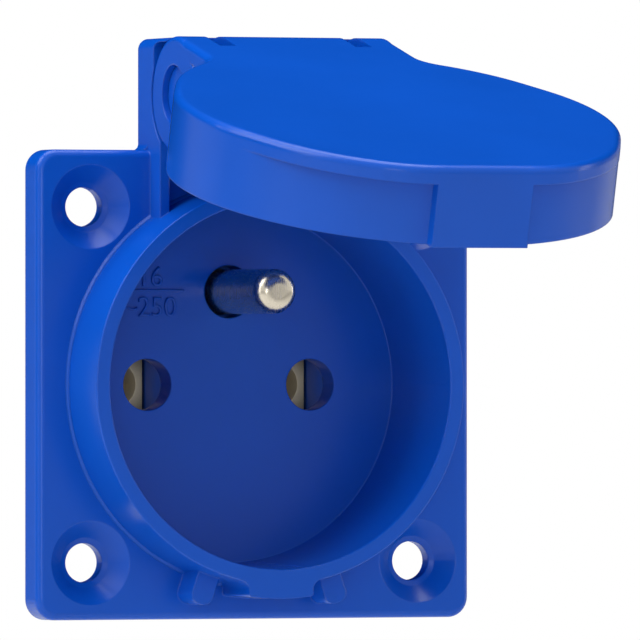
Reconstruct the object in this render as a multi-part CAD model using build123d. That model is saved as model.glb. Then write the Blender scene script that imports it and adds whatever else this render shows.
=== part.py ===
from build123d import *
import math
import os

# Panel socket outlet with a hinged lid, in millimetres.
# Origin: middle of the back face of the flange, on the axis of the socket.
# The plug comes in along +Y, +X is to the viewer's right and +Z is up.
# The lid is built closed and then turned open about the hinge axis.

# Flange
FLANGE_SIZE = 50.2
FLANGE_THICK = 3.5
FLANGE_CORNER = 2.2
FLANGE_EDGE = 0.8
SCREW_PITCH = 38.0
SCREW_HOLE_R = 2.1
SINK_R = 4.5
SINK_STEP_R = 2.7
SINK_DEPTH = 2.0
SINK_STEP_DEPTH = 1.7

# Collar and recess
COLLAR_PROUD = 7.35
COLLAR_WALL = 1.6
COLLAR_DRAFT = 0.35
RECESS_RIM_R = 19.7
RECESS_DRAFT = 0.5
RECESS_DEPTH = 14.6
FLOOR_THICK = 3.0
RIM_EDGE = 0.15
RIM_INNER_EDGE = 0.15

# Plug contacts
PIN_PITCH = 19.0
PIN_HOLE_R = 2.8
EARTH_RISE = 10.0
EARTH_PIN_R = 2.4
EARTH_PIN_REACH = 14.0
EARTH_HOLE_GAP = 0.45

# Lug that the lid's tab goes over, and the guides on both sides of it
LUG_HALF = 3.7
LUG_PROUD = 1.55
LUG_CORNER = 0.3
LUG_ROOT = 1.1
GUIDE_ANGLE = 19.0
GUIDE_WIDE = 2.5
GUIDE_REACH = 3.05
GUIDE_CORNER = 1.05
GUIDE_GAP = 0.25

# Hinge
HINGE_LIFT = 3.15
KNUCKLE_R = 6.15
KNUCKLE_GAP = 0.55
KNUCKLE_HALF = 12.25
KNUCKLE_EDGE = 0.6
UPRIGHT_INSET = 0.15
UPRIGHT_RISE = 6.1
UPRIGHT_CORNER = 1.2
UPRIGHT_FLARE = 0.7
WALL_WIDE = 1.1
WALL_PROUD = 2.7
WALL_CLEAR = 0.35
LIP_REACH = 4.0
LIP_THICK = 0.45
RELIEF_WALL = 0.8
RELIEF_CORNER = 0.8
EAR_INNER = 7.05
EAR_WIDE = 1.6
EAR_INSET = 1.55
EAR_CLEAR = 0.15
AXLE_R = 1.5
AXLE_FIT = 0.05
PLUG_R = 3.05
PLUG_THICK = 1.6
PLUG_SUNK = 0.7
PLUG_FIT = 0.08

# Lid
LID_OPEN = 75.0
LID_DROP = 0.45
LID_THICK = 1.9
LID_EDGE = 0.8
NOSE_INSET = 1.5
NOSE_BULGE = 1.4
NOSE_CORNER = 11.5
NECK_CORNER = 4.0
SKIRT_WALL = 1.2
SKIRT_CLEAR = 0.65
SKIRT_DROP = 6.7
TAB_CHEEK = 1.17
TAB_WALL = 1.2
TAB_SIDE_GAP = 0.5
TAB_GAP = 0.66
HOOK_TALL = 0.35
HOOK_LONG = 1.1
HOOK_SET_BACK = 0.2
HOOK_SLOPE = 0.21
SLOT_END = 3.3
GASKET_GAP = 0.2
GASKET_SIDE_GAP = 0.3
GASKET_WIDE = 2.9
KEEPER_WALL = 1.1
KEEPER_TALL = 2.2

# Rear body
REAR_STEP = 1.7
CUP_EDGE = 0.8
BOSS_R = 2.5
BOSS_LONG = 8.25
SIDE_BOSS_INSET_X = 5.1
SIDE_BOSS_INSET_Z = 4.5
LOW_BOSS_INSET = 3.8
GROOVE_INSET = 0.8
GROOVE_WIDE = 1.6
GROOVE_DEEP = 1.2
RING_SIDE_GAP = 0.3

# Contact carrier
CARRIER_LONG = 15.28
CARRIER_GAP = 0.3
CARRIER_WALL = 1.0
CARRIER_END_WALL = 3.4
CARRIER_CORNER = 8.0
CHAMBER_HALF_X = 3.4
CHAMBER_HALF_Z = 2.85
CHAMBER_DEEP = 6.3
POCKET_GAP = 0.1

# Contacts, their springs and terminals
CONTACT_WIDE = 6.4
CONTACT_PROUD = 2.0
CONTACT_BORE_R = 2.45
CONTACT_BORE_DEEP = 10.0
SLIT_WIDE = 0.8
SLIT_LONG = 8.0
SPRING_THICK = 0.6
SPRING_SET_BACK = 1.6
SPRING_CLEAR = 0.2
TONGUE_HALF = 3.0
TONGUE_THICK = 4.0
TONGUE_END = 3.5
TONGUE_SUNK = 2.0
TERMINAL_DROP = 9.0
EARTH_TERMINAL_X = 7.3
EARTH_TERMINAL_Z = 10.4
EARTH_PLATE_THICK = 3.0
EARTH_PLATE_R = 3.5
SHANK_R = 2.0
SHOULDER_R = 3.9
SHOULDER_DEEP = 3.0
SHANK_PROUD = 0.3
NUT_ACROSS = 7.0
NUT_TALL = 3.2
NUT_TOP_R = 3.4
NUT_SLOPE = 1.73
WASHER_R = 4.0
WASHER_THICK = 0.8
PIN_TIP_EDGE = 1.6
PIN_NECK_R = 2.2
PIN_NECK_RISE = 0.1

# Terminal screws and wire clamps
TERMINAL_SCREW_R = 1.75
TERMINAL_SCREW_LONG = 7.7
TERMINAL_HEAD_R = 2.9
TERMINAL_HEAD_TALL = 2.2
TERMINAL_HEAD_EDGE = 0.4
SCREW_TIP_EDGE = 0.4
THREAD_GAP = 0.1
CLAMP_HALF = 3.0
CLAMP_THICK = 1.2
CLAMP_CORNER = 1.0
CLAMP_GROOVE = 0.4
CLAMP_GROOVE_INSET = 0.6
DRIVE_SLOT = 0.8
DRIVE_DEEP = 1.0
DRIVE_REACH = 1.7
RELIEF_GAP = 0.5

# Rear cover
COVER_THICK = 1.8
COVER_INSET = 0.3
COVER_WALL = 0.9
COVER_EDGE = 1.0
NUT_ROOM = 0.27
COVER_SCREW_R = 1.5
COVER_SCREW_LONG = 18.0
COVER_HEAD_R = 2.7
COVER_HEAD_TALL = 1.8
COVER_HEAD_EDGE = 0.8
POST_R = 2.9
WINDOW_X = 4.7
WINDOW_Z = 5.5
WINDOW_CORNER = 0.6
WINDOW_OUT = 3.25
WINDOW_LOW = 6.2
EARTH_WINDOW_Z = 1.75
ACCESS_R = 2.6

# Places that follow from the sizes
CUT = 1.0
NEAR = 0.01
FLANGE_FRONT = -FLANGE_THICK
RIM_Y = FLANGE_FRONT - COLLAR_PROUD
FLOOR_Y = RIM_Y + RECESS_DEPTH
FLOOR_BACK = FLOOR_Y + FLOOR_THICK
COLLAR_RIM_R = RECESS_RIM_R + COLLAR_WALL
COLLAR_BASE_R = COLLAR_RIM_R + COLLAR_DRAFT
RECESS_FLOOR_R = RECESS_RIM_R - RECESS_DRAFT
LUG_R = COLLAR_RIM_R + LUG_PROUD
GUIDE_TIP_R = COLLAR_BASE_R + GUIDE_REACH
HINGE_Y = FLANGE_FRONT - KNUCKLE_GAP - KNUCKLE_R
HINGE_Z = COLLAR_BASE_R + HINGE_LIFT + KNUCKLE_R
UPRIGHT_HALF = KNUCKLE_HALF - UPRIGHT_INSET
UPRIGHT_TOP = HINGE_Z + UPRIGHT_RISE
EAR_R = KNUCKLE_R - EAR_INSET
LID_Z = -LID_DROP
LID_TOP_Y = HINGE_Y - KNUCKLE_R
LID_UNDER_Y = LID_TOP_Y + LID_THICK
SKIRT_END_Y = LID_UNDER_Y + SKIRT_DROP
SKIRT_INNER_R = COLLAR_BASE_R + SKIRT_CLEAR
LID_R = SKIRT_INNER_R + SKIRT_WALL
TAB_SLOT_HALF = LUG_HALF + TAB_SIDE_GAP
TAB_HALF = TAB_SLOT_HALF + TAB_CHEEK
NOSE_FLAT = LUG_R + TAB_GAP + TAB_WALL - LID_DROP
NOSE_R = LID_R - NOSE_INSET
LID_NOSE = NOSE_FLAT + NOSE_BULGE - NOSE_R
PLUG_FACE_X = KNUCKLE_HALF - PLUG_SUNK
PLUG_BACK_X = PLUG_FACE_X - PLUG_THICK
REAR_R = RECESS_RIM_R + REAR_STEP
GROOVE_INNER_R = REAR_R + GROOVE_INSET
GROOVE_OUTER_R = GROOVE_INNER_R + GROOVE_WIDE
BOSS_BACK = FLOOR_BACK + BOSS_LONG
CONTACT_Y = FLOOR_BACK + CHAMBER_DEEP
CONTACT_HALF = CONTACT_WIDE / 2
POCKET_HALF = CONTACT_HALF + SPRING_THICK + POCKET_GAP
CARRIER_HALF_X = PIN_PITCH / 2 + POCKET_HALF + CARRIER_WALL
CARRIER_BACK = FLOOR_BACK + CARRIER_LONG
CONTACT_BACK = CARRIER_BACK + CONTACT_PROUD
TONGUE_BACK = CARRIER_BACK - TONGUE_SUNK
TONGUE_Y = TONGUE_BACK - TONGUE_THICK
EARTH_PLATE_Y = TONGUE_BACK - EARTH_PLATE_THICK
TONGUE_DROP = TERMINAL_DROP + TONGUE_END
CARRIER_HALF_Z = TONGUE_DROP + RELIEF_GAP + CARRIER_END_WALL
SHOULDER_Y = FLOOR_BACK + SHOULDER_DEEP
CLAMP_BACK = TONGUE_BACK + CLAMP_THICK
SHANK_END = TONGUE_BACK + WASHER_THICK + NUT_TALL + SHANK_PROUD
COVER_INNER_Y = SHANK_END + NUT_ROOM
COVER_BACK = COVER_INNER_Y + COVER_THICK
LINE_X = -PIN_PITCH / 2
NEUTRAL_X = PIN_PITCH / 2
TERMINALS = (
    (LINE_X, -TERMINAL_DROP),
    (NEUTRAL_X, -TERMINAL_DROP),
    (EARTH_TERMINAL_X, EARTH_TERMINAL_Z),
)
BOSS_PLACES = (
    (SIDE_BOSS_INSET_X - CARRIER_HALF_X, CARRIER_HALF_Z - SIDE_BOSS_INSET_Z),
    (0.0, LOW_BOSS_INSET - CARRIER_HALF_Z),
)
HALF_PITCH = SCREW_PITCH / 2
SCREW_PLACES = [(x, z) for x in (-HALF_PITCH, HALF_PITCH) for z in (-HALF_PITCH, HALF_PITCH)]


# Simple bodies

def rod_y(radius, y_from, y_to, x=0.0, z=0.0):
    body = Cylinder(radius, y_to - y_from, align=(Align.CENTER, Align.CENTER, Align.MIN))
    return Pos(x, y_from, z) * Rot(-90, 0, 0) * body


def taper_y(r_from, r_to, y_from, y_to, x=0.0, z=0.0):
    body = Cone(r_from, r_to, y_to - y_from, align=(Align.CENTER, Align.CENTER, Align.MIN))
    return Pos(x, y_from, z) * Rot(-90, 0, 0) * body


def rod_x(radius, x_from, x_to, y, z):
    body = Cylinder(radius, x_to - x_from, align=(Align.CENTER, Align.CENTER, Align.MIN))
    return Pos(x_from, y, z) * Rot(0, 90, 0) * body


def block(x_range, y_range, z_range):
    spans = [high - low for low, high in (x_range, y_range, z_range)]
    middles = [(high + low) / 2 for low, high in (x_range, y_range, z_range)]
    return Pos(*middles) * Box(*spans)


def slab(profile, y_front, y_back):
    # The profile is drawn as seen from the front, X to the right and Z up.
    return extrude(Plane.XZ.offset(-y_back) * profile, y_back - y_front)


def bar_x(profile, x_from, x_to):
    # The profile is drawn in Y and Z.
    return extrude(Plane.YZ.offset(x_from) * profile, x_to - x_from)


def both_sides(body):
    return [body, mirror(body, about=Plane.YZ)]


def ring_y(outer, inner, y_from, y_to, z=0.0):
    return rod_y(outer, y_from, y_to, 0, z) - rod_y(inner, y_from - CUT, y_to + CUT, 0, z)


# Housing

def flange():
    plate = slab(RectangleRounded(FLANGE_SIZE, FLANGE_SIZE, FLANGE_CORNER), FLANGE_FRONT, 0)
    front = plate.faces().sort_by(Axis.Y)[0]
    return fillet(front.edges(), FLANGE_EDGE)


def countersink(x, z):
    step_y = FLANGE_FRONT + SINK_STEP_DEPTH
    hole_y = FLANGE_FRONT + SINK_DEPTH
    wide = taper_y(SINK_R, SINK_STEP_R, FLANGE_FRONT, step_y, x, z)
    narrow = taper_y(SINK_STEP_R, SCREW_HOLE_R, step_y, hole_y, x, z)
    return wide + narrow + rod_y(SCREW_HOLE_R, FLANGE_FRONT - CUT, CUT, x, z)


def collar():
    body = taper_y(COLLAR_RIM_R, COLLAR_BASE_R, RIM_Y, FLANGE_FRONT + CUT)
    return fillet(body.edges().sort_by(Axis.Y)[0], RIM_EDGE)


def latch_lug():
    lug = Circle(LUG_R) & Pos(0, -LUG_R) * Rectangle(2 * LUG_HALF, LUG_R)
    lug = fillet(lug.vertices().group_by(Axis.Y)[0], LUG_CORNER)
    joined = lug + Circle(COLLAR_RIM_R)
    roots = [v for v in joined.vertices() if abs(abs(v.X) - LUG_HALF) < NEAR and v.Y > -COLLAR_RIM_R]
    joined = fillet(roots, LUG_ROOT)
    near = Pos(0, -LUG_R) * Rectangle(2 * (LUG_HALF + LUG_ROOT), LUG_R)
    return slab(joined & near, RIM_Y, FLANGE_FRONT + CUT)


def guides():
    inner_r = COLLAR_RIM_R - CUT
    long = GUIDE_TIP_R - inner_r
    tab = Pos(0, -inner_r - long / 2) * Rectangle(GUIDE_WIDE, long)
    tab = fillet(tab.vertices().sort_by(Axis.Y)[0:2], GUIDE_CORNER)
    body = slab(Rot(0, 0, GUIDE_ANGLE) * tab, SKIRT_END_Y + GUIDE_GAP, FLANGE_FRONT + CUT)
    return both_sides(body)


def upright():
    low_z = FLANGE_SIZE / 2 - 2 * CUT
    plate = block((-UPRIGHT_HALF, UPRIGHT_HALF), (FLANGE_FRONT, 0), (low_z, UPRIGHT_TOP))
    lip_z = (UPRIGHT_TOP - 2 * LIP_THICK, UPRIGHT_TOP)
    lip = block((-UPRIGHT_HALF, UPRIGHT_HALF), (FLANGE_FRONT - LIP_REACH, FLANGE_FRONT), lip_z)
    wall_x = (UPRIGHT_HALF - WALL_WIDE, UPRIGHT_HALF)
    wall_z = (math.sqrt(COLLAR_RIM_R**2 - UPRIGHT_HALF**2) - CUT, UPRIGHT_TOP)
    wall = block(wall_x, (FLANGE_FRONT - WALL_PROUD, 0), wall_z)
    body = plate + lip + both_sides(wall)
    body -= rod_x(KNUCKLE_R + WALL_CLEAR, -KNUCKLE_HALF - CUT, KNUCKLE_HALF + CUT, HINGE_Y, HINGE_Z)
    relief_top = UPRIGHT_TOP - LIP_THICK
    relief_back = FLANGE_FRONT - RELIEF_WALL
    relief = RectangleRounded(relief_back - HINGE_Y, relief_top - HINGE_Z, RELIEF_CORNER)
    relief = Pos((relief_back + HINGE_Y) / 2, (relief_top + HINGE_Z) / 2) * relief
    body -= bar_x(relief, -KNUCKLE_HALF - CUT, KNUCKLE_HALF + CUT)
    top_corners = body.edges().filter_by(Axis.Y).group_by(Axis.Z)[-1]
    return fillet(top_corners, UPRIGHT_CORNER) + upright_flare()


def upright_flare():
    # Small rounds where the sides of the upright meet the top edge of the flange.
    outer = UPRIGHT_HALF + UPRIGHT_FLARE
    edge_z = FLANGE_SIZE / 2
    corner = Pos(outer - UPRIGHT_FLARE, edge_z) * Rectangle(2 * UPRIGHT_FLARE, 2 * UPRIGHT_FLARE)
    corner -= Pos(outer, edge_z + UPRIGHT_FLARE) * Circle(UPRIGHT_FLARE)
    return both_sides(slab(corner, FLANGE_FRONT + FLANGE_EDGE, 0))


def ears():
    eye = Pos(HINGE_Y, HINGE_Z) * Circle(EAR_R)
    root = Pos((HINGE_Y + FLANGE_FRONT) / 2, HINGE_Z) * Rectangle(FLANGE_FRONT - HINGE_Y, 2 * EAR_R)
    hole = Pos(HINGE_Y, HINGE_Z) * Circle(AXLE_R + AXLE_FIT)
    return both_sides(bar_x(eye + root - hole, EAR_INNER, EAR_INNER + EAR_WIDE))


def rear_body():
    cup = rod_y(REAR_R, FLANGE_FRONT, FLOOR_BACK)
    cup = fillet(cup.edges().sort_by(Axis.Y)[-1], CUP_EDGE)
    bosses = [rod_y(BOSS_R, FLOOR_BACK, BOSS_BACK, x, z) for x, z in BOSS_PLACES]
    return cup + bosses


def housing():
    body = flange() + collar() + latch_lug() + guides() + upright() + ears() + rear_body()
    recess = taper_y(RECESS_RIM_R, RECESS_FLOOR_R, RIM_Y, FLOOR_Y)
    body -= recess
    inner_rim = [e for e in body.edges().filter_by(GeomType.CIRCLE) if abs(e.radius - RECESS_RIM_R) < NEAR]
    body = fillet(inner_rim, RIM_INNER_EDGE)
    body -= [countersink(x, z) for x, z in SCREW_PLACES]
    body -= [rod_y(PIN_HOLE_R, FLOOR_Y - CUT, FLOOR_BACK + CUT, x) for x in (LINE_X, NEUTRAL_X)]
    body -= rod_y(EARTH_PIN_R + EARTH_HOLE_GAP, FLOOR_Y - CUT, FLOOR_BACK + CUT, 0, EARTH_RISE)
    body -= ring_y(GROOVE_OUTER_R, GROOVE_INNER_R, -GROOVE_DEEP, CUT)
    bore = COVER_SCREW_R + THREAD_GAP
    bore_from = COVER_BACK - COVER_SCREW_LONG - CUT
    return body - [rod_y(bore, bore_from, BOSS_BACK + CUT, x, z) for x, z in BOSS_PLACES]


def flange_gasket():
    return ring_y(GROOVE_OUTER_R - RING_SIDE_GAP, GROOVE_INNER_R + RING_SIDE_GAP, -GROOVE_DEEP, 0)


# Lid and hinge

def turned_open(body):
    return Pos(0, HINGE_Y, HINGE_Z) * Rot(-LID_OPEN, 0, 0) * Pos(0, -HINGE_Y, -HINGE_Z) * body


def lid_outline():
    middle = Pos(0, LID_Z) * Circle(LID_R)
    nose = Pos(0, LID_Z - LID_NOSE) * Circle(NOSE_R)
    tail = Pos(0, LID_Z + LID_NOSE) * Circle(NOSE_R)
    oval = make_hull(middle.edges() + nose.edges() + tail.edges())
    oval -= Pos(0, LID_Z - NOSE_FLAT - LID_R) * Rectangle(4 * LID_R, 2 * LID_R)
    oval = fillet(oval.vertices().group_by(Axis.Y)[0], NOSE_CORNER)
    neck = Pos(0, (LID_Z + HINGE_Z) / 2) * Rectangle(2 * KNUCKLE_HALF, HINGE_Z - LID_Z)
    outline = oval + neck
    sides = [v for v in outline.vertices() if abs(abs(v.X) - KNUCKLE_HALF) < NEAR]
    inner = [v for v in sides if v.Y < HINGE_Z - CUT]
    return fillet(inner, NECK_CORNER)


def lid_plate():
    plate = slab(lid_outline(), LID_TOP_Y, LID_UNDER_Y)
    barrel = rod_x(KNUCKLE_R, -KNUCKLE_HALF, KNUCKLE_HALF, HINGE_Y, HINGE_Z)
    top = plate.faces().sort_by(Axis.Y)[0]
    edge = [e for e in top.edges() if e.center().Z < HINGE_Z - NEAR]
    return fillet(edge, LID_EDGE) + fillet(barrel.edges().filter_by(GeomType.CIRCLE), KNUCKLE_EDGE)


def lid_tab():
    wall = Pos(0, LID_Z - NOSE_FLAT / 2) * Rectangle(2 * TAB_HALF, NOSE_FLAT)
    wall -= Pos(0, LID_Z) * Circle(SKIRT_INNER_R)
    return slab(wall, LID_UNDER_Y, SKIRT_END_Y)


def lid_hook():
    inner = LID_Z - NOSE_FLAT + TAB_WALL
    half = LUG_HALF - TAB_SIDE_GAP
    hook_end = SKIRT_END_Y - HOOK_SET_BACK
    body = block((-half, half), (hook_end - HOOK_LONG, hook_end), (inner - TAB_WALL / 2, inner + HOOK_TALL))
    crest = body.edges().filter_by(Axis.X).group_by(Axis.Z)[-1]
    return chamfer(crest, HOOK_SLOPE)


def hinge_slot():
    x_range = (EAR_INNER - EAR_CLEAR, EAR_INNER + EAR_WIDE + EAR_CLEAR)
    reach = KNUCKLE_R + CUT
    across = block(x_range, (HINGE_Y - reach, HINGE_Y + reach), (HINGE_Z - SLOT_END, HINGE_Z + reach))
    under = block(x_range, (LID_UNDER_Y, HINGE_Y + reach), (HINGE_Z - reach, HINGE_Z))
    return both_sides(across + under)


def lid():
    skirt = ring_y(LID_R, SKIRT_INNER_R, LID_UNDER_Y, SKIRT_END_Y, LID_Z)
    keeper_r = SKIRT_INNER_R - GASKET_SIDE_GAP - GASKET_WIDE - GASKET_SIDE_GAP
    keeper = ring_y(keeper_r, keeper_r - KEEPER_WALL, LID_UNDER_Y, LID_UNDER_Y + KEEPER_TALL, LID_Z)
    body = lid_plate() + skirt + keeper + lid_tab()
    slot_x = (-TAB_SLOT_HALF, TAB_SLOT_HALF)
    slot_z = (LID_Z - NOSE_FLAT + TAB_WALL, LID_Z - SKIRT_INNER_R + 2 * CUT)
    body -= block(slot_x, (LID_UNDER_Y, SKIRT_END_Y + CUT), slot_z)
    body += lid_hook()
    body -= hinge_slot()
    body -= rod_x(AXLE_R + AXLE_FIT, -KNUCKLE_HALF - CUT, KNUCKLE_HALF + CUT, HINGE_Y, HINGE_Z)
    seat = rod_x(PLUG_R + PLUG_FIT, PLUG_BACK_X, KNUCKLE_HALF + CUT, HINGE_Y, HINGE_Z)
    return turned_open(body - both_sides(seat))


def lid_gasket():
    outer = SKIRT_INNER_R - GASKET_SIDE_GAP
    return turned_open(ring_y(outer, outer - GASKET_WIDE, LID_UNDER_Y, RIM_Y - GASKET_GAP, LID_Z))


def hinge_axle():
    return rod_x(AXLE_R, -PLUG_BACK_X, PLUG_BACK_X, HINGE_Y, HINGE_Z)


def hinge_plugs():
    plug = rod_x(PLUG_R, PLUG_BACK_X, PLUG_FACE_X, HINGE_Y, HINGE_Z)
    return turned_open(Compound(both_sides(plug)))


# Contact carrier

def contact_cavity(x):
    chamber_x = (x - CHAMBER_HALF_X, x + CHAMBER_HALF_X)
    chamber = block(chamber_x, (FLOOR_BACK - CUT, CONTACT_Y), (-CHAMBER_HALF_Z, CHAMBER_HALF_Z))
    half = POCKET_HALF
    pocket = block((x - half, x + half), (CONTACT_Y, CARRIER_BACK + CUT), (-half, half))
    tongue_half = TONGUE_HALF + RELIEF_GAP
    tongue_z = (-TONGUE_DROP - RELIEF_GAP, 0)
    tongue = block((x - tongue_half, x + tongue_half), (TONGUE_Y, CARRIER_BACK + CUT), tongue_z)
    return chamber + pocket + tongue


def earth_plate_outline(grow):
    hub = Pos(0, EARTH_RISE) * Circle(WASHER_R + grow)
    eye = Pos(EARTH_TERMINAL_X, EARTH_TERMINAL_Z) * Circle(EARTH_PLATE_R + grow)
    return make_hull((hub.edges() + eye.edges()))


def contact_carrier():
    outline = RectangleRounded(2 * CARRIER_HALF_X, 2 * CARRIER_HALF_Z, CARRIER_CORNER)
    body = slab(outline, FLOOR_BACK, CARRIER_BACK)
    body -= [contact_cavity(x) for x in (LINE_X, NEUTRAL_X)]
    neck_bore = PIN_NECK_R + CARRIER_GAP
    body -= rod_y(neck_bore, FLOOR_BACK - CUT, SHOULDER_Y + CUT, 0, EARTH_RISE)
    body -= rod_y(SHOULDER_R + CARRIER_GAP, SHOULDER_Y, EARTH_PLATE_Y + CUT, 0, EARTH_RISE)
    body -= slab(earth_plate_outline(RELIEF_GAP), EARTH_PLATE_Y, CARRIER_BACK + CUT)
    well = TERMINAL_SCREW_R + RELIEF_GAP
    screw_tip = CLAMP_BACK - TERMINAL_SCREW_LONG - CUT
    body -= [rod_y(well, screw_tip, CARRIER_BACK + CUT, x, z) for x, z in TERMINALS]
    seat = BOSS_R + CARRIER_GAP
    body -= [rod_y(seat, FLOOR_BACK - CUT, BOSS_BACK + CARRIER_GAP, x, z) for x, z in BOSS_PLACES]
    hole = COVER_SCREW_R + 2 * THREAD_GAP
    return body - [rod_y(hole, BOSS_BACK, CARRIER_BACK + CUT, x, z) for x, z in BOSS_PLACES]


# Contacts

def plug_contact(x):
    half = CONTACT_HALF
    shape = block((x - half, x + half), (CONTACT_Y, CONTACT_BACK), (-half, half))
    tongue_z = (-TONGUE_DROP, -half + CUT)
    shape += block((x - TONGUE_HALF, x + TONGUE_HALF), (TONGUE_Y, TONGUE_BACK), tongue_z)
    shape -= rod_y(CONTACT_BORE_R, CONTACT_Y - CUT, CONTACT_Y + CONTACT_BORE_DEEP, x)
    slit_x = (x - SLIT_WIDE / 2, x + SLIT_WIDE / 2)
    shape -= block(slit_x, (CONTACT_Y - CUT, CONTACT_Y + SLIT_LONG), (-CONTACT_WIDE, CONTACT_WIDE))
    thread = TERMINAL_SCREW_R + THREAD_GAP
    return shape - rod_y(thread, TONGUE_Y - CUT, TONGUE_BACK + CUT, x, -TERMINAL_DROP)


def contact_spring(x):
    outer = RectangleRounded(CONTACT_WIDE + 2 * SPRING_THICK, CONTACT_WIDE + 2 * SPRING_THICK, SPRING_THICK)
    frame = outer - Rectangle(CONTACT_WIDE, CONTACT_WIDE)
    return slab(Pos(x, 0) * frame, CONTACT_Y + SPRING_SET_BACK, TONGUE_Y - SPRING_CLEAR)


def earth_pin():
    tip = FLOOR_Y - EARTH_PIN_REACH
    neck_y = FLOOR_Y - PIN_NECK_RISE
    post = rod_y(EARTH_PIN_R, tip, neck_y, 0, EARTH_RISE)
    post = fillet(post.edges().sort_by(Axis.Y)[0], PIN_TIP_EDGE)
    neck = rod_y(PIN_NECK_R, neck_y, SHOULDER_Y, 0, EARTH_RISE)
    shoulder = rod_y(SHOULDER_R, SHOULDER_Y, EARTH_PLATE_Y, 0, EARTH_RISE)
    return post + neck + shoulder + rod_y(SHANK_R, EARTH_PLATE_Y, SHANK_END, 0, EARTH_RISE)


def earth_terminal():
    plate = slab(earth_plate_outline(0), EARTH_PLATE_Y, TONGUE_BACK)
    plate -= rod_y(SHANK_R + THREAD_GAP, EARTH_PLATE_Y - CUT, TONGUE_BACK + CUT, 0, EARTH_RISE)
    thread = TERMINAL_SCREW_R + THREAD_GAP
    return plate - rod_y(thread, EARTH_PLATE_Y - CUT, TONGUE_BACK + CUT, EARTH_TERMINAL_X, EARTH_TERMINAL_Z)


def earth_washer():
    body = rod_y(WASHER_R, TONGUE_BACK, TONGUE_BACK + WASHER_THICK, 0, EARTH_RISE)
    return body - rod_y(SHANK_R + THREAD_GAP, TONGUE_BACK - CUT, TONGUE_BACK + CUT, 0, EARTH_RISE)


def earth_nut():
    start = TONGUE_BACK + WASHER_THICK
    hexagon = Pos(0, EARTH_RISE) * RegularPolygon(NUT_ACROSS / 2, 6, major_radius=False)
    body = slab(hexagon, start, start + NUT_TALL)
    wide_r = NUT_TOP_R + NUT_SLOPE * NUT_TALL
    body &= taper_y(wide_r, NUT_TOP_R, start, start + NUT_TALL, 0, EARTH_RISE)
    return body - rod_y(SHANK_R + THREAD_GAP, start - CUT, start + NUT_TALL + CUT, 0, EARTH_RISE)


# Terminal screws and wire clamps

def wire_clamp(x, z):
    side = 2 * CLAMP_HALF
    plate = Pos(x, z) * RectangleRounded(side, side, CLAMP_CORNER)
    plate -= Pos(x, z) * Circle(TERMINAL_SCREW_R + THREAD_GAP)
    body = slab(plate, TONGUE_BACK, CLAMP_BACK)
    for turn in (-1, 1):
        line = x + turn * (CLAMP_HALF - CLAMP_GROOVE_INSET)
        cut_x = (line - CLAMP_GROOVE / 2, line + CLAMP_GROOVE / 2)
        body -= block(cut_x, (TONGUE_BACK - CUT, TONGUE_BACK + CLAMP_GROOVE), (z - side, z + side))
    return body


def cross_recess(x, z, face_y):
    across = (-DRIVE_SLOT / 2, DRIVE_SLOT / 2)
    along = (-DRIVE_REACH, DRIVE_REACH)
    depth = (face_y - DRIVE_DEEP, face_y + CUT)
    return Pos(x, 0, z) * (block(across, depth, along) + block(along, depth, across))


def screw(x, z, seat_y, head, shank_r, shank_long):
    # The head's radius, height and edge round come as one group.
    head_r, head_tall, head_edge = head
    cap = rod_y(head_r, seat_y, seat_y + head_tall, x, z)
    cap = fillet(cap.edges().sort_by(Axis.Y)[-1], head_edge)
    cap -= cross_recess(x, z, seat_y + head_tall)
    shank = rod_y(shank_r, seat_y - shank_long, seat_y, x, z)
    return cap + chamfer(shank.edges().sort_by(Axis.Y)[0], SCREW_TIP_EDGE)


def terminal_screw(x, z):
    head = (TERMINAL_HEAD_R, TERMINAL_HEAD_TALL, TERMINAL_HEAD_EDGE)
    return screw(x, z, CLAMP_BACK, head, TERMINAL_SCREW_R, TERMINAL_SCREW_LONG)


def terminal_screws():
    return Compound([terminal_screw(x, z) for x, z in TERMINALS])


# Rear cover

def rear_cover():
    half_x = CARRIER_HALF_X - COVER_INSET
    half_z = CARRIER_HALF_Z - COVER_INSET
    corner = CARRIER_CORNER - COVER_INSET
    cap = slab(RectangleRounded(2 * half_x, 2 * half_z, corner), CARRIER_BACK, COVER_BACK)
    cap = fillet(cap.faces().sort_by(Axis.Y)[-1].edges(), COVER_EDGE)
    room = RectangleRounded(2 * (half_x - COVER_WALL), 2 * (half_z - COVER_WALL), corner - COVER_WALL)
    cap -= slab(room, CARRIER_BACK - CUT, COVER_INNER_Y)
    cap += [rod_y(POST_R, CARRIER_BACK, COVER_INNER_Y + CUT, x, z) for x, z in BOSS_PLACES]
    for x, z in ((-WINDOW_OUT, -WINDOW_LOW), (WINDOW_OUT, -WINDOW_LOW), (0, EARTH_WINDOW_Z)):
        opening = Pos(x, z) * RectangleRounded(WINDOW_X, WINDOW_Z, WINDOW_CORNER)
        cap -= slab(opening, COVER_INNER_Y - CUT, COVER_BACK + CUT)
    cap -= [rod_y(ACCESS_R, COVER_INNER_Y - CUT, COVER_BACK + CUT, x, z) for x, z in TERMINALS]
    hole = COVER_SCREW_R + 2 * THREAD_GAP
    return cap - [rod_y(hole, CARRIER_BACK - CUT, COVER_BACK + CUT, x, z) for x, z in BOSS_PLACES]


def cover_screw(x, z):
    head = (COVER_HEAD_R, COVER_HEAD_TALL, COVER_HEAD_EDGE)
    return screw(x, z, COVER_BACK, head, COVER_SCREW_R, COVER_SCREW_LONG)


def cover_screws():
    return Compound([cover_screw(x, z) for x, z in BOSS_PLACES])


# All nodes

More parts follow.
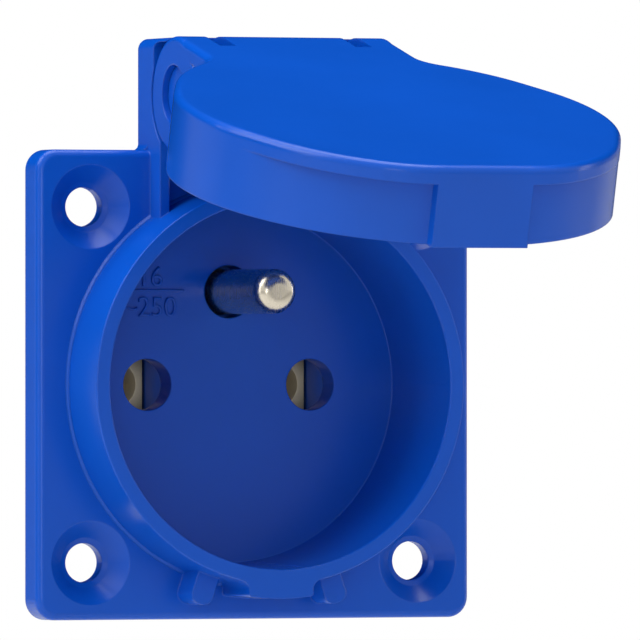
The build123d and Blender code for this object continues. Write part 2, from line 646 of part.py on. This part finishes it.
def nodes():
    return {
        "housing": housing(),
        "flange_gasket": flange_gasket(),
        "lid": lid(),
        "lid_gasket": lid_gasket(),
        "hinge_axle": hinge_axle(),
        "hinge_plugs": hinge_plugs(),
        "contact_carrier": contact_carrier(),
        "line_contact": plug_contact(LINE_X),
        "neutral_contact": plug_contact(NEUTRAL_X),
        "line_spring": contact_spring(LINE_X),
        "neutral_spring": contact_spring(NEUTRAL_X),
        "earth_pin": earth_pin(),
        "earth_terminal": earth_terminal(),
        "earth_washer": earth_washer(),
        "earth_nut": earth_nut(),
        "line_clamp": wire_clamp(*TERMINALS[0]),
        "neutral_clamp": wire_clamp(*TERMINALS[1]),
        "earth_clamp": wire_clamp(*TERMINALS[2]),
        "terminal_screws": terminal_screws(),
        "rear_cover": rear_cover(),
        "cover_screws": cover_screws(),
    }


os.makedirs("parts", exist_ok=True)
for name, shape in nodes().items():
    export_step(shape, f"parts/{name}.step")
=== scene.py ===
import math

import bpy
from mathutils import Matrix, Vector


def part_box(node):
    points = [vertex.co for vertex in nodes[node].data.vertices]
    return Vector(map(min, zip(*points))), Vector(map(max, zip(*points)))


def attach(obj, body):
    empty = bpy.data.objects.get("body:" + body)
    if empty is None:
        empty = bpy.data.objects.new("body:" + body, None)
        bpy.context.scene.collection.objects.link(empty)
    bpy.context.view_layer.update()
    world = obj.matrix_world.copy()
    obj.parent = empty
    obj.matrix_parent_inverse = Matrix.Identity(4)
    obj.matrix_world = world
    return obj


# Looks of a blue panel socket outlet with a hinged lid, in metres.
# The camera stands at the photograph's angle: front left, level with the socket.

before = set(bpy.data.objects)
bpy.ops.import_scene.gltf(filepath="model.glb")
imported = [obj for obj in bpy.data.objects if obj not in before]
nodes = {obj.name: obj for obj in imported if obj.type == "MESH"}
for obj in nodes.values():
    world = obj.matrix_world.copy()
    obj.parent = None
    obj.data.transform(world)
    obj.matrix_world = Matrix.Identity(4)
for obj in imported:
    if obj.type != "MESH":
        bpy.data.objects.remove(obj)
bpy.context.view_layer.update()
scene = bpy.context.scene

# Camera, from the photograph
VIEW_TURN = math.radians(-23.047)
VIEW_TILT = math.radians(-0.181)
VIEW_DISTANCE = 1.3717
FOCAL_PX = 12763.7
IMAGE_PX = 640
SENSOR_MM = 36.0
AIM_RIGHT = 0.008352
AIM_UP = 0.006952
CLIP_NEAR = 0.05
CLIP_FAR = 50

# Floor under the object
FLOOR_DROP = 0.16
FLOOR_R = 6.0
FLOOR_SIDES = 96
FLOOR_DARK = (0.78, 0.78, 0.78)
FLOOR_LIGHT = (0.8, 0.8, 0.8)
FLOOR_ROUGH = 0.9
FLOOR_CLOUD_SCALE = 3

# Grey light from the front: its level, and the slopes at which it is full and at which it ends
FRONT_LIGHT = 0.77
FRONT_FULL = -0.3
FRONT_END = 0.1

# White wall behind the object: half angles of its full part and of its outer end
WALL_FULL = math.radians(2.3)
WALL_END = math.radians(4)

# Small lamps just inside the two plug holes, which light the contacts
PIN_HOLE_X = 0.0095
HOLE_LIGHT_DEEP = 0.0034
HOLE_LIGHT_SIZE = 0.003
HOLE_LIGHT_POWER = 0.00008

# Colours, linear
BLUE = (0.0011, 0.074, 0.48)
DULL_BLUE = (0.0025, 0.06, 0.36)
RUBBER_DARK = (0.010, 0.010, 0.011)
RUBBER_LIGHT = (0.022, 0.022, 0.023)
TIN = (0.95, 0.84, 0.56)
NICKEL = (0.76, 0.69, 0.56)
ZINC = (0.66, 0.67, 0.69)

# Most of a noise's values lie between these
NOISE_LOW = 0.3
NOISE_HIGH = 0.7

# Moulded plastic: roughness of the satin and the dull kind, softened edges, cloudy shade and fine grain
SATIN_ROUGH = 0.26
DULL_ROUGH = 0.4
ROUGH_SPREAD = 0.02
ROUGH_SCALE = 900
PLASTIC_IOR = 1.36
PLASTIC_EDGE = 0.00025
CLOUD_SCALE = 55
CLOUD_DEPTH = 0.000004
GRAIN_SCALE = 5200
GRAIN_DEPTH = 0.0000008
LIGHTER = 1.05
LIFT = 0.0004
DARKER = 0.95

# Rubber: cloudy shade and a matt, grainy skin
RUBBER_CLOUD_SCALE = 400
RUBBER_LEAST_ROUGH = 0.55
RUBBER_MOST_ROUGH = 0.75
RUBBER_GRAIN_SCALE = 3000
RUBBER_GRAIN_DEPTH = 0.000008

# Metal: softened edges, stains, and lines that are smoother or rougher than the rest
METAL_EDGE = 0.00008
STAIN_SCALE = 260
STAIN_DARKER = 0.86
LINE_SMOOTHER = 0.08
LINE_ROUGHER = 0.1
LINE_SCALE = 3000
LINE_DEPTH = 0.000002

# Samples with which softened edges and hollows are worked out
SOFT_SAMPLES = 8

# Raised marks on the floor of the recess: words, right end and low edge
MARKS = (
    ("current_mark", "16", -0.00765, 0.0106),
    ("voltage_mark", "~250", -0.0061, 0.00735),
)
MARK_TALL = 0.00213
MARK_PROUD = 0.0002
MARK_SUNK = 0.00003
MARK_CURVE_STEPS = 4
MARK_LINE = ((-0.0118, 0.01004), (-0.0053, 0.01024))
FLOOR_Y = 0.00375

# Small hollow round where the collar stands on the flange
FOOT_R = 0.02161
FOOT_ROUND = 0.0003
FOOT_SUNK = 0.00005
FOOT_STEPS = 8
FOOT_TURNS = 240
FLANGE_FRONT_Y = -0.0035


# Node helpers

def new_material(name):
    material = bpy.data.materials.new(name)
    material.use_nodes = True
    tree = material.node_tree
    return material, tree, tree.nodes["Principled BSDF"]


def add(tree, kind, **settings):
    node = tree.nodes.new(kind)
    for key, value in settings.items():
        setattr(node, key, value)
    return node


def noise(tree, scale, detail=2.0, rough=0.5, stretch=(1, 1, 1)):
    place = add(tree, "ShaderNodeTexCoord")
    spread = add(tree, "ShaderNodeMapping")
    spread.inputs["Scale"].default_value = stretch
    tree.links.new(place.outputs["Object"], spread.inputs["Vector"])
    grain = add(tree, "ShaderNodeTexNoise")
    grain.inputs["Scale"].default_value = scale
    grain.inputs["Detail"].default_value = detail
    grain.inputs["Roughness"].default_value = rough
    tree.links.new(spread.outputs["Vector"], grain.inputs["Vector"])
    return grain.outputs["Fac"]


def remap(tree, source, low, high, start=0.0, end=1.0):
    # A source that goes from start to end comes out as low to high.
    span = add(tree, "ShaderNodeMapRange")
    span.inputs["From Min"].default_value = start
    span.inputs["From Max"].default_value = end
    span.inputs["To Min"].default_value = low
    span.inputs["To Max"].default_value = high
    tree.links.new(source, span.inputs["Value"])
    return span.outputs["Result"]


def blended(tree, source, first, second):
    # The second colour shows where the noise is high, the first where it is low.
    mix = add(tree, "ShaderNodeMix", data_type="RGBA")
    mix.inputs["A"].default_value = (*first, 1)
    mix.inputs["B"].default_value = (*second, 1)
    share = remap(tree, source, 0.0, 1.0, NOISE_LOW, NOISE_HIGH)
    tree.links.new(share, mix.inputs["Factor"])
    return mix.outputs["Result"]


def bump(tree, shader, heights, edge=0.0):
    # Each height is a source with its depth in metres; edge is the radius that softens edges.
    last = None
    if edge:
        bevel = add(tree, "ShaderNodeBevel", samples=SOFT_SAMPLES)
        bevel.inputs["Radius"].default_value = edge
        last = bevel.outputs["Normal"]
    for source, depth in heights:
        node = add(tree, "ShaderNodeBump")
        node.inputs["Strength"].default_value = 1.0
        node.inputs["Distance"].default_value = depth
        tree.links.new(source, node.inputs["Height"])
        if last:
            tree.links.new(last, node.inputs["Normal"])
        last = node.outputs["Normal"]
    tree.links.new(last, shader.inputs["Normal"])


def shaded_hollows(tree, colour, reach):
    # Deep places that little light gets into are darker.
    hollow = add(tree, "ShaderNodeAmbientOcclusion", samples=SOFT_SAMPLES)
    hollow.inputs["Distance"].default_value = reach
    tree.links.new(colour, hollow.inputs["Color"])
    return hollow.outputs["Color"]


# Materials

def moulded_plastic(name, colour, rough=SATIN_ROUGH):
    material, tree, shader = new_material(name)
    cloud = noise(tree, CLOUD_SCALE, detail=3.0)
    grain = noise(tree, GRAIN_SCALE)
    light = tuple(min(1.0, c * LIGHTER + LIFT) for c in colour)
    dark = tuple(c * DARKER for c in colour)
    tree.links.new(blended(tree, cloud, dark, light), shader.inputs["Base Color"])
    patches = noise(tree, ROUGH_SCALE, detail=4.0)
    roughness = remap(tree, patches, rough - ROUGH_SPREAD, rough + ROUGH_SPREAD)
    tree.links.new(roughness, shader.inputs["Roughness"])
    shader.inputs["IOR"].default_value = PLASTIC_IOR
    bump(tree, shader, [(grain, GRAIN_DEPTH), (cloud, CLOUD_DEPTH)], PLASTIC_EDGE)
    return material


def rubber(name):
    material, tree, shader = new_material(name)
    cloud = noise(tree, RUBBER_CLOUD_SCALE, detail=4.0)
    tree.links.new(blended(tree, cloud, RUBBER_DARK, RUBBER_LIGHT), shader.inputs["Base Color"])
    roughness = remap(tree, cloud, RUBBER_LEAST_ROUGH, RUBBER_MOST_ROUGH)
    tree.links.new(roughness, shader.inputs["Roughness"])
    bump(tree, shader, [(noise(tree, RUBBER_GRAIN_SCALE, detail=3.0), RUBBER_GRAIN_DEPTH)])
    return material


def metal(name, colour, rough, stretch=(1, 1, 1), scale=LINE_SCALE, depth=LINE_DEPTH, metallic=1.0,
          hollow=0.0):
    # Stretch, scale and depth shape the lines; hollow is the reach within which hollows are darker.
    material, tree, shader = new_material(name)
    line = noise(tree, scale, detail=3.0, rough=0.6, stretch=stretch)
    stained = tuple(c * STAIN_DARKER for c in colour)
    surface = blended(tree, noise(tree, STAIN_SCALE, detail=3.0), stained, colour)
    if hollow:
        surface = shaded_hollows(tree, surface, hollow)
    tree.links.new(surface, shader.inputs["Base Color"])
    shader.inputs["Metallic"].default_value = metallic
    smooth, coarse = rough - LINE_SMOOTHER, rough + LINE_ROUGHER
    roughness = remap(tree, line, smooth, coarse, NOISE_LOW, NOISE_HIGH)
    tree.links.new(roughness, shader.inputs["Roughness"])
    bump(tree, shader, [(line, depth)], METAL_EDGE)
    return material


def tinned_brass():
    return metal("tinned_brass", TIN, rough=0.55, stretch=(0.6, 0.6, 8), scale=1200, depth=0.000004,
                 metallic=0.4, hollow=0.0025)


def nickel_pin():
    return metal("nickel_pin", NICKEL, rough=0.22, stretch=(8, 8, 0.5), scale=900, depth=0.00001)


def zinc_steel():
    return metal("zinc_steel", ZINC, rough=0.34)


def paint(names, material):
    for name in names:
        mesh = nodes[name].data
        mesh.materials.clear()
        mesh.materials.append(material)


def finishes():
    paint(["housing", "lid", "hinge_plugs"], moulded_plastic("blue_plastic", BLUE))
    paint(["flange_gasket", "lid_gasket"], rubber("black_rubber"))
    paint(["contact_carrier", "rear_cover"], moulded_plastic("dull_blue_plastic", DULL_BLUE, DULL_ROUGH))
    paint(["line_contact", "neutral_contact", "earth_terminal"], tinned_brass())
    paint(["earth_pin"], nickel_pin())
    steel_nodes = ["hinge_axle", "line_spring", "neutral_spring", "earth_washer", "earth_nut"]
    steel_nodes += ["line_clamp", "neutral_clamp", "earth_clamp", "terminal_screws", "cover_screws"]
    paint(steel_nodes, zinc_steel())


# Pieces that belong to the housing

def place_on_housing(name, mesh, material):
    piece = bpy.data.objects.new(name, mesh)
    scene.collection.objects.link(piece)
    mesh.materials.append(material)
    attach(piece, "body")


def mark_words(name, words, right, low, material):
    text = bpy.data.curves.new(name, "FONT")
    text.body = words
    text.align_x = "RIGHT"
    text.resolution_u = MARK_CURVE_STEPS
    letters = bpy.data.objects.new("letters", text)
    scene.collection.objects.link(letters)
    bpy.context.view_layer.update()
    text.size = MARK_TALL / letters.dimensions.y
    text.extrude = (MARK_PROUD + MARK_SUNK) / 2
    bpy.context.view_layer.update()
    mesh = bpy.data.meshes.new_from_object(letters.evaluated_get(bpy.context.evaluated_depsgraph_get()))
    bpy.data.objects.remove(letters)
    mesh.transform(Matrix.Rotation(math.pi / 2, 4, "X"))
    mesh.transform(Matrix.Translation((right, FLOOR_Y - (MARK_PROUD - MARK_SUNK) / 2, low)))
    place_on_housing(name, mesh, material)


def mark_line(material):
    (left, low), (right, high) = MARK_LINE
    front, back = FLOOR_Y - MARK_PROUD, FLOOR_Y + MARK_SUNK
    corners = [(x, y, z) for x in (left, right) for y in (front, back) for z in (low, high)]
    sides = [(0, 1, 3, 2), (4, 6, 7, 5), (0, 4, 5, 1), (2, 3, 7, 6), (0, 2, 6, 4), (1, 5, 7, 3)]
    mesh = bpy.data.meshes.new("mark_line")
    mesh.from_pydata(corners, [], sides)
    place_on_housing("mark_line", mesh, material)


def add_marks():
    material = moulded_plastic("mark_plastic", BLUE)
    for name, words, right, low in MARKS:
        mark_words(name, words, right, low, material)
    mark_line(material)


def foot_profile():
    # Radius and y of each corner: the hollow round, then the corners sunk in the flange and the collar.
    turns = [math.pi / 2 * step / FOOT_STEPS for step in range(FOOT_STEPS + 1)]
    outer, high = FOOT_R + FOOT_ROUND, FLANGE_FRONT_Y - FOOT_ROUND
    arc = [(outer - FOOT_ROUND * math.cos(a), high + FOOT_ROUND * math.sin(a)) for a in turns]
    inner, deep = FOOT_R - FOOT_SUNK, FLANGE_FRONT_Y + FOOT_SUNK
    return arc + [(outer, deep), (inner, deep), (inner, high)]


def turned_ring(name, profile, turns, smooth_sides):
    # The profile goes round the Y axis as a closed ring; its first sides are shaded smooth.
    count = len(profile)
    corners, faces = [], []
    for turn in range(turns):
        angle = 2 * math.pi * turn / turns
        corners += [(r * math.cos(angle), y, r * math.sin(angle)) for r, y in profile]
        here, there = turn * count, (turn + 1) % turns * count
        for side in range(count):
            after = (side + 1) % count
            faces.append((here + side, here + after, there + after, there + side))
    mesh = bpy.data.meshes.new(name)
    mesh.from_pydata(corners, [], faces)
    mesh.polygons.foreach_set("use_smooth", [k % count < smooth_sides for k in range(len(faces))])
    return mesh


def add_foot_round():
    mesh = turned_ring("collar_foot", foot_profile(), FOOT_TURNS, FOOT_STEPS)
    place_on_housing("collar_foot", mesh, nodes["housing"].data.materials[0])


# Stage

def floor_material():
    material, tree, shader = new_material("floor_white")
    surface = blended(tree, noise(tree, FLOOR_CLOUD_SCALE), FLOOR_DARK, FLOOR_LIGHT)
    tree.links.new(surface, shader.inputs["Base Color"])
    shader.inputs["Roughness"].default_value = FLOOR_ROUGH
    return material


def add_floor():
    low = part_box("housing")[0].z - FLOOR_DROP
    bpy.ops.mesh.primitive_circle_add(vertices=FLOOR_SIDES, radius=FLOOR_R, fill_type="NGON",
                                      location=(0, 0, low))
    floor = bpy.context.object
    floor.name = "floor"
    floor.data.materials.append(floor_material())


def view_axes():
    right = Vector((math.cos(VIEW_TURN), math.sin(VIEW_TURN), 0))
    level = math.cos(VIEW_TILT)
    back = Vector((math.sin(VIEW_TURN) * level, -math.cos(VIEW_TURN) * level, math.sin(VIEW_TILT)))
    return right, back.cross(right), back


def set_world():
    # A white wall straight behind the object, soft grey in front and dark elsewhere.
    world = bpy.data.worlds.new("studio")
    scene.world = world
    world.use_nodes = True
    tree = world.node_tree
    place = add(tree, "ShaderNodeTexCoord")
    split = add(tree, "ShaderNodeSeparateXYZ")
    tree.links.new(place.outputs["Generated"], split.inputs["Vector"])
    ahead = add(tree, "ShaderNodeVectorMath", operation="DOT_PRODUCT")
    ahead.inputs[1].default_value = -view_axes()[2]
    tree.links.new(place.outputs["Generated"], ahead.inputs[0])
    wall = remap(tree, ahead.outputs["Value"], 0.0, 1.0, math.cos(WALL_END), math.cos(WALL_FULL))
    front = remap(tree, split.outputs["Y"], FRONT_LIGHT, 0.0, FRONT_FULL, FRONT_END)
    both = add(tree, "ShaderNodeMath", operation="ADD")
    tree.links.new(wall, both.inputs[0])
    tree.links.new(front, both.inputs[1])
    tree.links.new(both.outputs["Value"], tree.nodes["Background"].inputs["Color"])


def add_lamp(name, place, size, power, aim=(0, 0, 0)):
    data = bpy.data.lights.new(name, "AREA")
    data.shape = "RECTANGLE"
    data.size, data.size_y = size
    data.energy = power
    lamp = bpy.data.objects.new(name, data)
    scene.collection.objects.link(lamp)
    lamp.location = place
    way = Vector(aim) - Vector(place)
    lamp.rotation_euler = way.to_track_quat("-Z", "Y").to_euler()
    lamp.visible_camera = False


def add_lamps():
    add_lamp("top_light", place=(0.0, 0.05, 1.1), size=(0.9, 0.9), power=11.2)
    add_lamp("top_left_light", place=(-0.9, 0.0, 0.8), size=(0.8, 0.8), power=9.8)
    add_lamp("left_strip", place=(-1.4, -0.3, 0.1), size=(0.1, 1.0), power=1.2)
    add_lamp("right_strip", place=(1.4, -0.1, 0.1), size=(0.1, 1.0), power=2.0)
    add_lamp("left_rim_light", place=(-0.9, 1.0, 0.05), size=(0.8, 0.6), power=0.7)
    add_lamp("right_rim_light", place=(1.1, 0.75, 0.05), size=(0.8, 0.6), power=0.6)
    add_lamp("front_light", place=(-0.6, -1.4, 0.05), size=(0.25, 0.25), power=1.4)
    square = (HOLE_LIGHT_SIZE, HOLE_LIGHT_SIZE)
    for name, x in (("left_hole_light", -PIN_HOLE_X), ("right_hole_light", PIN_HOLE_X)):
        mouth = (x, FLOOR_Y + HOLE_LIGHT_DEEP, 0)
        add_lamp(name, mouth, square, HOLE_LIGHT_POWER, aim=(x, 1, 0))


def add_camera():
    right, up, back = view_axes()
    data = bpy.data.cameras.new("camera")
    data.sensor_width = SENSOR_MM
    data.lens = FOCAL_PX * SENSOR_MM / IMAGE_PX
    data.clip_start = CLIP_NEAR
    data.clip_end = CLIP_FAR
    camera = bpy.data.objects.new("camera", data)
    scene.collection.objects.link(camera)
    aim = AIM_RIGHT * right + AIM_UP * up
    turn = Matrix((right, up, back)).transposed()
    camera.matrix_world = Matrix.Translation(aim + VIEW_DISTANCE * back) @ turn.to_4x4()
    scene.camera = camera


finishes()
add_marks()
add_foot_round()
add_floor()
set_world()
add_lamps()
add_camera()
scene.view_settings.view_transform = "Standard"
